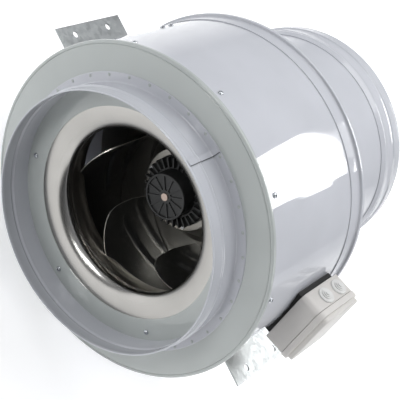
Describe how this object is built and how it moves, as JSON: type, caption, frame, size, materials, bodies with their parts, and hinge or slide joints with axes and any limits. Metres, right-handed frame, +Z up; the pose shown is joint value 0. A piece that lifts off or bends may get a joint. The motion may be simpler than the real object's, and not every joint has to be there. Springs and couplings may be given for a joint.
{
  "type": "inline duct fan",
  "caption": "Round sheet-metal duct fan with a spigot at each end, a centrifugal impeller that turns on an external-rotor motor, a terminal box and side brackets.",
  "frame": {"origin": "centre of the inlet spigot's mouth, on the fan's axis", "axes": "+Y along the fan's axis, the way the air goes, from the inlet to the outlet; +Z up; the brackets' ears point along -X and +X"},
  "size_m": [0.622, 0.556, 0.517],
  "materials": {
    "casing_paint": "glossy light grey paint",
    "plate_paint": "glossy grey paint",
    "zinc_steel": "zinc plated",
    "galvanised_steel": "galvanised",
    "spun_steel": "spun, satin",
    "impeller_steel": "bare sheet, satin",
    "blade_steel": "dark pressed sheet",
    "motor_black": "black coated casting",
    "motor_alloy": "die cast",
    "bright_steel": "turned",
    "core_steel": "stacked laminations",
    "copper_wire": "enamelled winding",
    "box_plastic": "light grey moulding",
    "grommet_rubber": "light grey rubber",
    "black_rubber": "soft black rubber",
    "white_plastic": "smooth moulding"
  },
  "bodies": {
    "housing": {"inlet_spigot": "casing_paint", "inlet_flange_rivets": "zinc_steel", "front_end_plate": "plate_paint", "drum_casing": "casing_paint", "drum_screws": "zinc_steel", "rear_end_plate": "casing_paint", "outlet_duct": "casing_paint", "outlet_duct_rivets": "zinc_steel", "outlet_spigot": "casing_paint", "inlet_nozzle": "spun_steel", "nozzle_screws": "zinc_steel", "front_bearing": "bright_steel", "rear_bearing": "bright_steel", "stator_core": "core_steel", "stator_windings": "copper_wire", "stator_base": "motor_alloy", "motor_screws": "zinc_steel", "motor_support": "galvanised_steel", "support_screws": "zinc_steel", "left_bracket": "galvanised_steel", "right_bracket": "galvanised_steel", "bracket_rivets": "zinc_steel", "terminal_box": "box_plastic", "box_gasket": "black_rubber", "box_screws": "zinc_steel", "box_lid": "box_plastic", "lid_gasket": "black_rubber", "lid_screws": "zinc_steel", "cable_grommets": "grommet_rubber", "terminal_block": "white_plastic", "capacitor": "white_plastic", "motor_cable": "black_rubber", "cable_bush": "black_rubber", "earth_screws": "zinc_steel"},
    "rotor": {"impeller_shroud": "impeller_steel", "impeller_blade_1": "blade_steel", "impeller_blade_2": "blade_steel", "impeller_blade_3": "blade_steel", "impeller_blade_4": "blade_steel", "impeller_blade_5": "blade_steel", "impeller_blade_6": "blade_steel", "impeller_back_plate": "impeller_steel", "impeller_screws": "zinc_steel", "rotor_can": "motor_black", "rotor_cover": "motor_black", "rotor_cage": "motor_alloy", "motor_shaft": "bright_steel", "shaft_clip": "zinc_steel"}
  },
  "joints": [
    {"name": "rotor_spin", "type": "hinge", "parent": "housing", "child": "rotor", "pos_m": [0, 0.2, 0], "axis": [0, 1, 0], "continuous": true}
  ]
}
